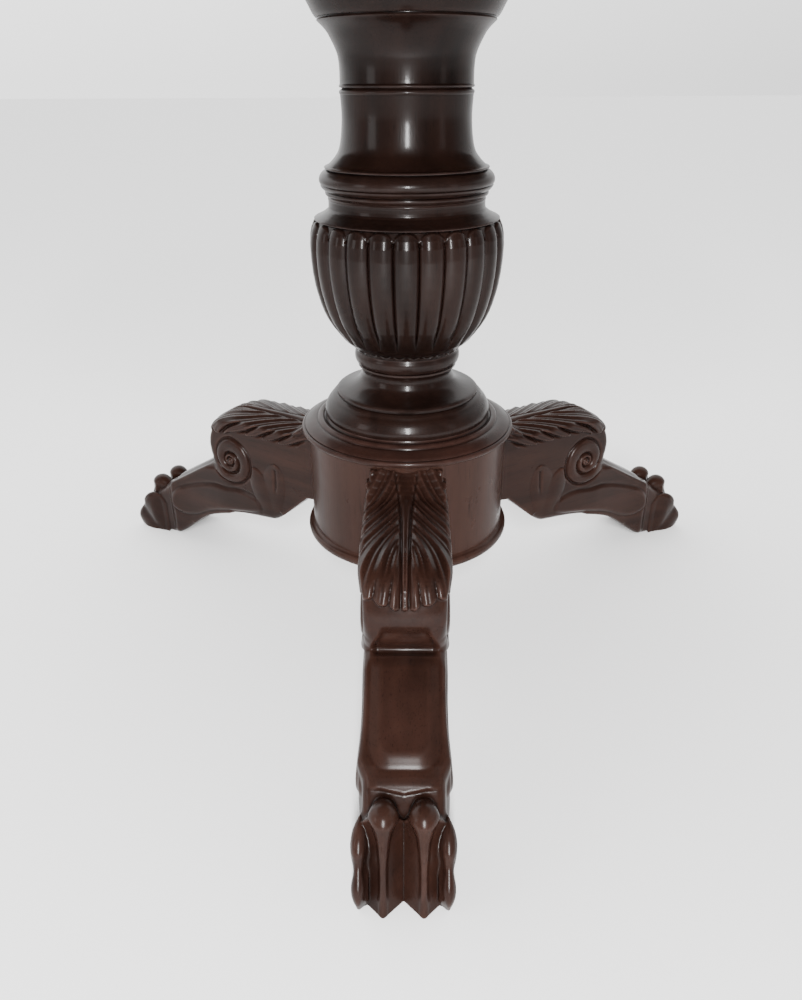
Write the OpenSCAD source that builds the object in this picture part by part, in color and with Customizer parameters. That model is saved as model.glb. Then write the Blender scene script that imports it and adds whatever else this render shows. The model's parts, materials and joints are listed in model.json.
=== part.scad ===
// Round pedestal table: a glued-up round top on two bearers and a block, carried by a turned column
// with a reeded vase, a round hub and three scrolled legs with carved paw feet. A steel tie rod runs
// up the middle and clamps the turned pieces together.
// Millimetres, +Z up. The origin is on the floor, on the axis of the column.

/* [Top] */
// Diameter of the round top
top_d = 1200; // [1000:10:1450]
// Thickness of the top boards
top_t = 30; // [26:1:40]
// Height of the rounded nosing around the top's edge
nosing_h = 15; // [10:1:18]
// Width of each bearer under the top
bearer_w = 70; // [50:1:90]
// Thickness of each bearer
bearer_t = 28; // [20:1:36]
// Length of each bearer, across the boards
bearer_len = 960; // [600:10:1000]
// Size of the mounting block along the boards
block_l = 300; // [250:5:380]
// Size of the mounting block across the boards
block_w = 320; // [250:5:400]
// Thickness of the mounting block
block_t = 40; // [34:1:60]

/* [Column] */
// Height of the capital
capital_h = 101; // [80:1:140]
// Largest radius of the capital
capital_r = 98.5; // [85:0.5:120]
// Radius of the neck between the capital and the ring
neck_r = 64; // [52:0.5:76]
// Height of the ring turning, from the vase to the capital
ring_h = 97; // [80:1:130]
// Radius of the ring
ring_r = 88.2; // [78:0.1:98]
// Height of the reeded vase
vase_h = 157; // [130:1:200]
// Largest radius of the vase, over the reeds
vase_r = 101.2; // [90:0.1:122]
// Radius of the vase where it stands on its bead
vase_foot_r = 57; // [48:0.5:68]
// Number of reeds round the vase
reed_count = 24; // [12:1:32]
// Depth of the grooves between the reeds
reed_groove = 5; // [2:0.5:7]
// Height of the column base, from the collar to the vase
base_h = 75; // [60:1:95]
// Radius of the column base at its foot
base_r = 94; // [80:0.5:104]

/* [Hub] */
// Clear height under the hub
hub_z = 113; // [95:1:140]
// Thickness of the moulded disc under the drum
disc_t = 13; // [10:1:18]
// Height of the drum
drum_h = 116; // [98:1:140]
// Radius of the drum
drum_r = 113.7; // [98:0.1:137]
// Thickness of the moulded collar on the drum
collar_t = 18; // [14:1:24]
// How far the collar stands out past the drum
collar_lip = 8; // [4:0.5:12]
// How far the disc under the drum stands out past it
disc_lip = 6.3; // [3:0.1:10]

/* [Legs] */
// Distance from the axis to the tips of the inner toes
leg_reach = 452; // [400:1:545]
// Distance from the axis to the front of the knee roll
knee_reach = 291; // [270:1:310]
// Width of each leg at the knee
leg_w = 79; // [66:1:95]
// Width of each paw
paw_w = 87; // [76:1:104]
// Height of the scroll's centre above the floor
scroll_z = 157; // [140:1:180]
// Radius of the carved scroll
scroll_r = 34; // [24:1:40]
// How far the leg's top lies below the collar
leg_drop = 24; // [15:1:40]

/* [Joinery] */
// Radius of the steel tie rod
rod_r = 6; // [5:0.5:8]
// Radial clearance of the rod in the wood
rod_gap = 1; // [0.5:0.1:2]
// Radius of the round tenons on the turned pieces
tenon_r = 28; // [22:1:34]
// Length of the round tenons
tenon_len = 22; // [15:1:28]
// Clearance round a tenon and a dovetail
joint_gap = 0.2; // [0.1:0.05:0.4]
// Depth of the leg's dovetail in the drum
dovetail_d = 18; // [14:1:24]
// Shank radius of the wood screws
screw_r = 2.5; // [2:0.1:3]

/* [Hidden] */
$fn = 96;

board_count = 4;
leg_count = 3;
legs_at = -90;

// Heights of the joints up the column
drum_z = hub_z + disc_t;
collar_z = drum_z + drum_h;
base_z = collar_z + collar_t;
vase_z = base_z + base_h;
ring_z = vase_z + vase_h;
capital_z = ring_z + ring_h;
block_z = capital_z + capital_h;
top_z = block_z + block_t;

// Rod, nuts and washers
bore_r = rod_r + rod_gap;
nut_h = rod_r * 1.8;
nut_r = rod_r * 1.83;
washer_t = 3;
washer_r = rod_r * 3.8;
thread_gap = 0.05;
rod_tail = 3;
pocket_r = washer_r + 2;
fastening_h = washer_t + nut_h + rod_tail;
seat_top = top_z - fastening_h - 1.2;
seat_low = drum_z + 20;
cap_tenon_r = 40;
cap_tenon_h = 8;

// Screws
head_r = screw_r * 1.9;
screw_gap = 0.1;
bearer_x = block_l / 2 + 5 + bearer_w / 2;
bearer_screw_len = bearer_t + top_t * 0.55;
block_sink = block_t * 0.25;
block_screw_len = block_t - block_sink + top_t * 0.55;
disc_screw_len = disc_t + 20;
disc_screw_at = drum_r * 0.75;

// Legs, in a plane through the axis: x is the distance from the axis, y is the height
leg_top = collar_z - leg_drop;
scroll_x = knee_reach - scroll_r - 10;
crease = [knee_reach - 6, scroll_z - 18];
ankle_x = leg_reach - 60;
sole_x = leg_reach - 66;
volute_rise = 1.5;
inner_toe = [[ankle_x - 24, 0], [leg_reach, 0], [leg_reach - 2, 7], [leg_reach - 7, 18],
             [leg_reach - 13, 36], [leg_reach - 17, 52], [leg_reach - 24, 68], [leg_reach - 34, 79],
             [leg_reach - 46, 80], [ankle_x - 4, 76], [ankle_x - 24, 84]];
outer_toe = [[ankle_x - 24, 0], [leg_reach - 12, 0], [leg_reach - 6, 3], [leg_reach - 4, 11],
             [leg_reach - 6, 20], [leg_reach - 11, 30], [leg_reach - 16, 38], [leg_reach - 20, 47],
             [leg_reach - 27, 56], [leg_reach - 38, 62], [leg_reach - 52, 62], [ankle_x - 24, 66]];

// Points of a cubic curve from a to d with handles b and c, leaving out its first point
function curve(a, b, c, d, steps = 8) =
    [for (i = [1 : steps])
        let (t = i / steps, s = 1 - t)
        s * s * s * a + 3 * s * s * t * b + 3 * s * t * t * c + t * t * t * d];

// Places of the screws through the bearers, the block and the disc
bearer_screw_at = [for (side = [-1, 1], y = [-0.42, -0.2, 0.2, 0.42]) [side * bearer_x, y * bearer_len]];
block_screw_at = [for (x = [-1, 1], y = [-1, -1 / 3, 1 / 3, 1])
    [x * (block_l / 2 - 25), y * (block_w / 2 - 25)]];
disc_screw_angles = [for (i = [0 : leg_count - 1], turn = [-18, 18]) legs_at + (i + 0.5) * 360 / leg_count + turn];

module wood(dark = 1) {
    color([0.27, 0.13, 0.085] * dark) children();
}

module steel() {
    color([0.55, 0.56, 0.58]) children();
}

// Hole on the column's axis from z to z + h
module axis_hole(r, z, h) {
    translate([0, 0, z]) cylinder(r = r, h = h);
}

// Tenon under a turned piece that stands at z
module tenon(z, len = tenon_len) {
    translate([0, 0, z - len]) cylinder(r = tenon_r, h = len + 1);
}

// Socket that a tenon fits, in the top of the piece below
module socket(z, len = tenon_len) {
    axis_hole(tenon_r + joint_gap, z - len - 2, len + 3);
}

// Outline of the whole top: a rounded nosing over a small step
module top_body() {
    r = top_d / 2;
    nose = nosing_h / 2;
    step = 4;
    rotate_extrude($fn = 180)
        polygon(concat(
            [[0, 0], [r - nose - step - 6, 0]],
            curve([r - nose - step - 6, 0], [r - nose - step - 2, 0], [r - nose - 2, top_t * 0.2],
                  [r - nose - 2, top_t - nosing_h], 5),
            [for (a = [-90 : 15 : 90]) [r - nose + nose * cos(a), top_t - nose + nose * sin(a)]],
            [[0, top_t]]));
}

module screw_tunnel(at, z, len) {
    translate([at[0], at[1], z]) cylinder(r = screw_r + screw_gap, h = len + 1, $fn = 24);
}

// Countersunk wood screw with its head's face at z = 0, pointing up, on all the places in a list
module screws_up(places, z, len) {
    steel() for (at = places)
        translate([at[0], at[1], z])
            rotate_extrude($fn = 24)
                polygon([[0, 0], [head_r, 0], [head_r, 0.6], [screw_r, head_r - screw_r + 0.6],
                         [screw_r, len - 5], [0.6, len], [0, len]]);
}

// Hole for such a screw, with its countersink
module screw_hole(at, z, len) {
    translate([at[0], at[1], z])
        rotate_extrude($fn = 24)
            polygon([[0, -1], [head_r + 0.3, -1], [head_r + 0.3, 0.6], [screw_r + screw_gap, head_r - screw_r + 0.9],
                     [screw_r + screw_gap, len + 0.5], [0, len + 0.5]]);
}

module top_board(i) {
    width = top_d / board_count;
    wood() difference() {
        translate([0, 0, top_z]) intersection() {
            top_body();
            translate([-top_d, -top_d / 2 + (i - 1) * width, -1]) cube([2 * top_d, width, top_t + 2]);
        }
        for (at = bearer_screw_at) screw_hole(at, top_z - bearer_t, bearer_screw_len);
        for (at = block_screw_at) screw_hole(at, block_z + block_sink, block_screw_len);
    }
}

module bearer(side) {
    slope = bearer_t * 0.6;
    wood() difference() {
        translate([side * bearer_x - bearer_w / 2, 0, top_z])
            rotate([90, 0, 90])
                linear_extrude(bearer_w)
                    polygon([[-bearer_len / 2, 0], [-bearer_len / 2, -bearer_t + slope],
                             [-bearer_len / 2 + 2 * slope, -bearer_t], [bearer_len / 2 - 2 * slope, -bearer_t],
                             [bearer_len / 2, -bearer_t + slope], [bearer_len / 2, 0]]);
        for (at = bearer_screw_at) screw_hole(at, top_z - bearer_t, bearer_screw_len);
    }
}

module bearer_left() {
    bearer(-1);
}

module bearer_right() {
    bearer(1);
}

module bearer_screws() {
    screws_up(bearer_screw_at, top_z - bearer_t, bearer_screw_len);
}

// Block with chamfered corners and under-edges, seated on the capital
module mounting_block() {
    cut = 30;
    x = block_l / 2;
    y = block_w / 2;
    wood() difference() {
        translate([0, 0, block_z])
            linear_extrude(block_t)
                polygon([[x, y - cut], [x - cut, y], [cut - x, y], [-x, y - cut],
                         [-x, cut - y], [cut - x, -y], [x - cut, -y], [x, cut - y]]);
        axis_hole(bore_r, block_z - 1, block_t + 2);
        axis_hole(pocket_r, seat_top, block_t);
        axis_hole(cap_tenon_r + joint_gap, block_z - 1, cap_tenon_h + 1.5);
        for (at = block_screw_at) {
            screw_hole(at, block_z + block_sink, block_screw_len);
            translate([at[0], at[1], block_z - 1]) cylinder(r = head_r + 1, h = block_sink + 1, $fn = 24);
        }
    }
}

module block_screws() {
    screws_up(block_screw_at, block_z + block_sink, block_screw_len);
}

// Capital: straight neck, a hollow that flares out, a quirk and an ovolo under a square fillet
module capital() {
    h = capital_h;
    r = capital_r;
    quirk = [r * 0.85, h * 0.56];
    wood(0.75) difference() {
        union() {
            translate([0, 0, capital_z])
                rotate_extrude()
                    polygon(concat(
                        [[0, 0], [neck_r - 1.5, 0], [neck_r + 0.7, 2.5], [neck_r + 1, h * 0.2]],
                        curve([neck_r + 1, h * 0.2], [neck_r + 2, h * 0.34], [quirk[0] - 8, h * 0.46], quirk),
                        [quirk + [1, 0.8]],
                        curve(quirk + [1, 0.8], quirk + [6, 7], [r, h * 0.68], [r, h * 0.84], 6),
                        [[r - 2.5, h * 0.86], [r - 2.5, h], [0, h]]));
            axis_hole(cap_tenon_r, block_z - 1, cap_tenon_h + 1);
            tenon(capital_z);
        }
        axis_hole(bore_r, capital_z - tenon_len - 1, h + tenon_len + cap_tenon_h + 2);
    }
}

// Ring turning: fillets and a torus at the foot, a long hollow up to the neck and a small bead
module ring_turning() {
    h = ring_h;
    r = ring_r;
    shoulder = [r - 8.2, h * 0.28];
    wood(0.75) difference() {
        union() {
            translate([0, 0, ring_z])
                rotate_extrude()
                    polygon(concat(
                        [[0, 0], [r - 8.5, 0], [r - 7.5, 4], [r - 5, 5]],
                        curve([r - 5, 5], [r - 4.5, 7], [r - 3.5, 8.5], [r - 2, 9], 4),
                        [[r - 2, 12]],
                        curve([r - 2, 12], [r + 1, 14.5], [r + 0.5, 20], shoulder),
                        [shoulder - [1, 0]],
                        curve(shoulder - [1, 0], [neck_r + 7, h * 0.34], [neck_r + 1, h * 0.42],
                              [neck_r, h * 0.58], 10),
                        curve([neck_r, h * 0.58], [neck_r - 0.8, h * 0.7], [neck_r - 0.8, h * 0.8],
                              [neck_r, h - 8], 6),
                        curve([neck_r, h - 8], [neck_r + 2, h - 7], [neck_r + 2, h - 3], [neck_r, h - 2.5], 5),
                        [[neck_r - 1.5, h], [0, h]]));
            tenon(ring_z);
        }
        socket(capital_z);
        axis_hole(bore_r, ring_z - tenon_len - 1, h + tenon_len + 2);
    }
}

// Side outline of the vase: foot, belly, shoulder and hollow throat
function vase_side(inset = 0) =
    let (h = vase_h, r = vase_r - inset, throat = ring_r - 8.5)
    concat(
        [[vase_foot_r - inset, 0]],
        curve([vase_foot_r - inset, 0], [r * 0.75, h * 0.1], [r * 0.96, h * 0.33], [r * 0.985, h * 0.53], 12),
        curve([r * 0.985, h * 0.53], [r * 1.004, h * 0.66], [r * 1.01, h * 0.78], [r * 0.945, h * 0.85], 8),
        inset > 0 ? [] : curve([r * 0.945, h * 0.85], [r * 0.93, h * 0.885], [throat, h * 0.92],
                               [throat, h * 0.95], 6));

module reeded_vase() {
    groove_w = 2.4;
    wood(0.75) difference() {
        union() {
            translate([0, 0, vase_z])
                rotate_extrude()
                    polygon(concat([[0, 0]], vase_side(), [[ring_r - 8.5, vase_h], [0, vase_h]]));
            tenon(vase_z);
        }
        for (i = [0 : reed_count - 1])
            rotate([0, 0, legs_at + (i + 0.5) * 360 / reed_count])
                translate([0, groove_w / 2, vase_z])
                    rotate([90, 0, 0])
                        linear_extrude(groove_w)
                            difference() {
                                translate([0, vase_h * 0.05]) square([vase_r + 5, vase_h * 0.81]);
                                polygon(concat([[0, -1], [vase_foot_r - reed_groove, -1]],
                                               vase_side(reed_groove), [[0, vase_h]]));
                            }
        socket(ring_z);
        axis_hole(bore_r, vase_z - tenon_len - 1, vase_h + tenon_len + 2);
    }
}

// Column base: bead, short neck, cove and torus
module column_base() {
    h = base_h;
    bead_r = vase_foot_r + 0.4;
    stem_r = bead_r - 7;
    cove = [base_r - 14.5, h * 0.375];
    wood(0.75) difference() {
        union() {
            translate([0, 0, base_z])
                rotate_extrude()
                    polygon(concat(
                        [[0, 0], [base_r - 2, 0]],
                        curve([base_r - 2, 0], [base_r + 2.5, h * 0.1], [base_r - 4, h * 0.3],
                              cove - [0, h * 0.03]),
                        [cove],
                        curve(cove, [stem_r + 10, h * 0.42], [stem_r, h * 0.48], [stem_r, h * 0.62]),
                        [[stem_r, h * 0.75], [bead_r - 4, h * 0.76], [bead_r - 4, h * 0.79]],
                        curve([bead_r - 4, h * 0.79], [bead_r + 1.2, h * 0.81], [bead_r + 1.2, h * 0.97],
                              [bead_r - 3, h * 0.985], 6),
                        [[bead_r - 3, h], [0, h]]));
            tenon(base_z, tenon_len + collar_t);
        }
        socket(vase_z);
        axis_hole(bore_r, drum_z, base_z + h);
    }
}

// Collar: quirk, flat ogee and a bead at the edge
module hub_collar() {
    r = drum_r + collar_lip;
    t = collar_t;
    wood() difference() {
        translate([0, 0, collar_z])
            rotate_extrude()
                polygon(concat(
                    [[0, 0], [r - 2, 0]],
                    curve([r - 2, 0], [r + 0.7, t * 0.05], [r + 0.7, t * 0.3], [r - 2.5, t * 0.34], 5),
                    [[r - 3, t * 0.42]],
                    curve([r - 3, t * 0.42], [r - 10, t * 0.5], [base_r + 8, t * 0.72], [base_r + 4, t * 0.76], 6),
                    curve([base_r + 4, t * 0.76], [base_r + 4, t * 0.95], [base_r + 2, t], [base_r, t], 4),
                    [[0, t]]));
        axis_hole(tenon_r + joint_gap, collar_z - 1, t + 2);
    }
}

// Plan of a dovetail, from the drum's surface inwards along +X
module dovetail_plan(gap = 0, out = 1) {
    mouth = 11 + gap - out * 6 / dovetail_d;
    polygon([[drum_r + out, -mouth], [drum_r - dovetail_d - gap, -17 - gap],
             [drum_r - dovetail_d - gap, 17 + gap], [drum_r + out, mouth]]);
}

module hub_drum() {
    wood() difference() {
        axis_hole(drum_r, drum_z, drum_h);
        socket(collar_z);
        axis_hole(bore_r, drum_z, drum_h);
        axis_hole(pocket_r, drum_z - 1, seat_low - drum_z + 1);
        for (i = [0 : leg_count - 1])
            rotate([0, 0, legs_at + i * 360 / leg_count])
                translate([0, 0, drum_z - 1])
                    linear_extrude(leg_top - 5 - drum_z + 1)
                        dovetail_plan(joint_gap);
        for (a = disc_screw_angles)
            screw_tunnel(disc_screw_at * [cos(a), sin(a)], drum_z - 1, disc_screw_len - disc_t);
    }
}

// Moulded disc that closes the dovetails from below
module hub_disc() {
    r = drum_r + disc_lip;
    t = disc_t;
    wood() difference() {
        translate([0, 0, hub_z])
            rotate_extrude()
                polygon(concat(
                    [[0, 0], [r - 3, 0]],
                    curve([r - 3, 0], [r + 1, t * 0.15], [r + 1, t * 0.7], [r - 2, t * 0.8], 6),
                    curve([r - 2, t * 0.8], [r - 4, t * 0.82], [drum_r + 1, t * 0.9], [drum_r, t], 4),
                    [[0, t]]));
        axis_hole(pocket_r + 2, hub_z - 1, t + 2);
        for (a = disc_screw_angles) screw_hole(disc_screw_at * [cos(a), sin(a)], hub_z, disc_screw_len);
    }
}

module disc_screws() {
    screws_up([for (a = disc_screw_angles) disc_screw_at * [cos(a), sin(a)]], hub_z, disc_screw_len);
}

// Side outline of a leg from the drum to the ankle
function leg_side() =
    concat(
        [[drum_r - 20, leg_top], [scroll_x - 20, leg_top]],
        curve([scroll_x - 20, leg_top], [scroll_x + 24, leg_top],
              [knee_reach, scroll_z + (leg_top - scroll_z) * 0.55], [knee_reach, scroll_z], 12),
        curve([knee_reach, scroll_z], [knee_reach, scroll_z - 10], crease + [2, 4], crease, 4),
        curve(crease, crease + [22, -9], [ankle_x - 48, 104], [ankle_x - 18, 88], 6),
        curve([ankle_x - 18, 88], [ankle_x - 10, 83], [ankle_x - 8, 78], [ankle_x + 4, 76], 3),
        [[ankle_x + 14, 60], [ankle_x + 14, 0], [sole_x, 0]],
        curve([sole_x, 0], [sole_x - 30, 2], [sole_x - 55, 46], [sole_x - 96, 59], 10),
        curve([sole_x - 96, 59], [sole_x - 140, 76], [sole_x - 170, 78], [drum_r + 72, 82], 8),
        [[drum_r + 50, 93], [drum_r + 12, drum_z - 3], [drum_r + 10, drum_z], [drum_r - 20, drum_z]]);

// Toes: a side outline carried across a row of rounded ridges
module toes(outline, places, r, top) {
    intersection() {
        translate([0, paw_w / 2 + 1, 0]) rotate([90, 0, 0]) linear_extrude(paw_w + 2) polygon(outline);
        union() for (w = places) {
            translate([0, w, top - r]) rotate([0, 90, 0]) cylinder(r = r, h = leg_reach + 1, $fn = 48);
            translate([0, w - r, 0]) cube([leg_reach + 1, 2 * r, top - r]);
        }
    }
}

// Scroll on a side face: a raised ring round a button
module scroll(side) {
    translate([scroll_x, side * (leg_w / 2 - 1), scroll_z])
        rotate([-side * 90, 0, 0])
            rotate_extrude($fn = 64)
                polygon([[0, 0], [0, 1 + volute_rise], [scroll_r * 0.22, 1 + volute_rise], [scroll_r * 0.34, 0],
                         [scroll_r * 0.56, 0], [scroll_r * 0.68, 1 + volute_rise],
                         [scroll_r * 0.9, 1 + volute_rise], [scroll_r, 0]]);
}

// One leg, with its dovetail, its scroll and its paw
module leg(i) {
    toe_r = paw_w * 0.155;
    outer_r = paw_w * 0.11;
    wood() rotate([0, 0, legs_at + i * 360 / leg_count]) {
        difference() {
            union() {
                translate([0, leg_w / 2, 0]) rotate([90, 0, 0]) linear_extrude(leg_w) polygon(leg_side());
                toes(inner_toe, [-paw_w * 0.19, paw_w * 0.19], toe_r, 80);
                toes(outer_toe, [outer_r - paw_w / 2, paw_w / 2 - outer_r], outer_r, 62);
                for (side = [-1, 1]) scroll(side);
            }
            axis_hole(drum_r, 0, top_z);
            axis_hole(drum_r + disc_lip + 1, 0, drum_z + joint_gap);
        }
        translate([0, 0, drum_z + joint_gap])
            linear_extrude(leg_top - 6 - drum_z - joint_gap)
                intersection() {
                    dovetail_plan(0, 4);
                    circle(r = drum_r + 3, $fn = 96);
                }
    }
}

module leg_front() {
    leg(0);
}

module leg_right() {
    leg(1);
}

module leg_left() {
    leg(2);
}

module tie_rod() {
    z = seat_low - fastening_h;
    steel() translate([0, 0, z]) cylinder(r = rod_r, h = seat_top + fastening_h - z);
}

// Hexagon nuts at both ends of the rod
module rod_nuts() {
    steel() for (z = [seat_low - washer_t - nut_h, seat_top + washer_t])
        difference() {
            translate([0, 0, z]) cylinder(r = nut_r, h = nut_h, $fn = 6);
            axis_hole(rod_r + thread_gap, z - 1, nut_h + 2);
        }
}

module rod_washers() {
    steel() for (z = [seat_low - washer_t, seat_top])
        difference() {
            axis_hole(washer_r, z, washer_t);
            axis_hole(rod_r + 0.5, z - 1, washer_t + 2);
        }
}

top_board(1);  // top_board_1
top_board(2);  // top_board_2
top_board(3);  // top_board_3
top_board(4);  // top_board_4
bearer_left();
bearer_right();
bearer_screws();
mounting_block();
block_screws();
capital();
ring_turning();
reeded_vase();
column_base();
hub_collar();
hub_drum();
hub_disc();
disc_screws();
leg_front();
leg_right();
leg_left();
tie_rod();
rod_nuts();
rod_washers();
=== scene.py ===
"""Looks of the round pedestal table: turned column, reeded vase, carved legs and glued-up top, in metres."""

import json
from math import cos, hypot, pi, radians, sin, sqrt

import bpy
import numpy as np
from mathutils import Matrix, Vector


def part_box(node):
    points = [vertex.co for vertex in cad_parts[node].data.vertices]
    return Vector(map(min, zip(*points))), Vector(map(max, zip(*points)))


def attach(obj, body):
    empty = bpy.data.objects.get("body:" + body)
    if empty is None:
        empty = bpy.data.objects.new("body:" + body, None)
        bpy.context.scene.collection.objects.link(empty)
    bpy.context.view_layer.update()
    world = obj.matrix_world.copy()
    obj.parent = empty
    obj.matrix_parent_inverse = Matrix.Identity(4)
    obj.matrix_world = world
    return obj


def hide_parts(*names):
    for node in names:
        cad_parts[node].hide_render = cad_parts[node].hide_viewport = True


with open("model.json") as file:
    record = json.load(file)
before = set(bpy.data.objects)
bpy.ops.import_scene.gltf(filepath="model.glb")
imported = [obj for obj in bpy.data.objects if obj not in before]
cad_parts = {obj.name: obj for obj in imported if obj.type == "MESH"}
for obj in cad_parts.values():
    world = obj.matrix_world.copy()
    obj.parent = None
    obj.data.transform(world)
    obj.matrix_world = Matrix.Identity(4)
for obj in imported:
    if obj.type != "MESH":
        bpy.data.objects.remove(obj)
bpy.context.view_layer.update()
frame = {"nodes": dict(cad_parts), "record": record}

MM = 0.001
TURNED = ("capital", "ring_turning", "reeded_vase", "column_base", "hub_collar")
LEG_ANGLES = {"leg_front": -90, "leg_right": 30, "leg_left": 150}


# ---------------------------------------------------------------- camera, light and floor


def add_camera():
    """The camera stands at knee height in front of the front leg and looks down at the pedestal."""
    data = bpy.data.cameras.new("camera")
    data.sensor_fit = "VERTICAL"
    data.sensor_height = 36.0
    data.lens = 28.508
    cam = bpy.data.objects.new("camera", data)
    bpy.context.scene.collection.objects.link(cam)
    place = Vector((0.0062, -0.8551, 0.5974))
    tilt, pan, roll = radians(28.07), radians(0.92), radians(-0.286)
    look = Matrix.Rotation(pan, 4, "Z") @ Matrix.Rotation(pi / 2 - tilt, 4, "X")
    look = look @ Matrix.Rotation(roll, 4, "Z")
    cam.matrix_world = Matrix.Translation(place) @ look
    bpy.context.scene.camera = cam


def add_area_light(name, place, aim, size, power, colour=(1, 1, 1)):
    data = bpy.data.lights.new(name, "AREA")
    data.shape = "RECTANGLE"
    data.size, data.size_y = size
    data.energy = power
    data.color = colour
    light = bpy.data.objects.new(name, data)
    bpy.context.scene.collection.objects.link(light)
    light.location = place
    light.rotation_euler = (Vector(aim) - Vector(place)).to_track_quat("-Z", "Y").to_euler()


def add_stage():
    """Plain pale floor and even white surroundings."""
    world = bpy.data.worlds.new("studio")
    bpy.context.scene.world = world
    world.use_nodes = True
    tree = world.node_tree
    where = tree.nodes.new("ShaderNodeTexCoord")
    parts = tree.nodes.new("ShaderNodeSeparateXYZ")
    tree.links.new(where.outputs["Generated"], parts.inputs[0])
    fade = tree.nodes.new("ShaderNodeMapRange")
    fade.interpolation_type = "SMOOTHSTEP"
    for key, value in {"From Min": -0.3, "From Max": 0.5, "To Min": 0.35, "To Max": 2.6}.items():
        fade.inputs[key].default_value = value
    tree.links.new(parts.outputs["Y"], fade.inputs["Value"])
    rise = tree.nodes.new("ShaderNodeMapRange")
    for key, value in {"From Min": 0.0, "From Max": 1.0, "To Min": 0.8, "To Max": 2.0}.items():
        rise.inputs[key].default_value = value
    tree.links.new(parts.outputs["Z"], rise.inputs["Value"])
    lean = tree.nodes.new("ShaderNodeMapRange")
    for key, value in {"From Min": -1.0, "From Max": 1.0, "To Min": 1.3, "To Max": 0.55}.items():
        lean.inputs[key].default_value = value
    tree.links.new(parts.outputs["X"], lean.inputs["Value"])
    strength = fade.outputs["Result"]
    for factor in (rise, lean):
        product = tree.nodes.new("ShaderNodeMath")
        product.operation = "MULTIPLY"
        tree.links.new(strength, product.inputs[0])
        tree.links.new(factor.outputs["Result"], product.inputs[1])
        strength = product.outputs[0]
    tree.links.new(strength, tree.nodes["Background"].inputs["Strength"])
    tree.nodes["Background"].inputs["Color"].default_value = (1, 1, 1, 1)
    mesh = bpy.data.meshes.new("floor")
    s = 30.0
    mesh.from_pydata([(-s, -s, 0), (s, -s, 0), (s, s, 0), (-s, s, 0)], [], [(0, 1, 2, 3)])
    floor = bpy.data.objects.new("floor", mesh)
    floor.location.z = -0.0005
    bpy.context.scene.collection.objects.link(floor)
    mat = bpy.data.materials.new("floor_white")
    mat.use_nodes = True
    bsdf = mat.node_tree.nodes["Principled BSDF"]
    bsdf.inputs["Base Color"].default_value = (0.93, 0.93, 0.93, 1)
    bsdf.inputs["Roughness"].default_value = 0.9
    bsdf.inputs["Specular IOR Level"].default_value = 0.1
    mesh.materials.append(mat)


# ---------------------------------------------------------------- materials


class Nodes:
    """Short helper for building a node material."""

    def __init__(self, name):
        self.mat = bpy.data.materials.new(name)
        self.mat.use_nodes = True
        self.tree = self.mat.node_tree
        self.bsdf = self.tree.nodes["Principled BSDF"]

    def add(self, kind, values=None, **props):
        node = self.tree.nodes.new(kind)
        for key, value in props.items():
            setattr(node, key, value)
        for key, value in (values or {}).items():
            node.inputs[key].default_value = value
        return node

    def link(self, a, b):
        self.tree.links.new(a, b)

    def math(self, op, a, b=None):
        node = self.add("ShaderNodeMath", operation=op)
        for i, v in enumerate((a, b)):
            if v is None:
                continue
            if isinstance(v, (int, float)):
                node.inputs[i].default_value = v
            else:
                self.link(v, node.inputs[i])
        return node.outputs[0]

    def mix(self, factor, a, b, blend="MIX"):
        node = self.add("ShaderNodeMix", data_type="RGBA", blend_type=blend)
        for socket, v in ((node.inputs[0], factor), (node.inputs[6], a), (node.inputs[7], b)):
            if isinstance(v, (int, float)):
                socket.default_value = v
            elif isinstance(v, tuple):
                socket.default_value = (*v, 1) if len(v) == 3 else v
            else:
                self.link(v, socket)
        return node.outputs[2]

    def ramp(self, factor, stops):
        node = self.add("ShaderNodeValToRGB")
        while len(node.color_ramp.elements) < len(stops):
            node.color_ramp.elements.new(0.5)
        for element, (at, value) in zip(node.color_ramp.elements, stops):
            element.position = at
            element.color = (*value, 1) if isinstance(value, tuple) else (value, value, value, 1)
        self.link(factor, node.inputs[0])
        return node.outputs[0]

    def noise(self, vector, scale, detail=4.0, rough=0.5, distort=0.0):
        node = self.add("ShaderNodeTexNoise",
                        {"Scale": scale, "Detail": detail, "Roughness": rough, "Distortion": distort})
        self.link(vector, node.inputs["Vector"])
        return node.outputs["Fac"]


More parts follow.
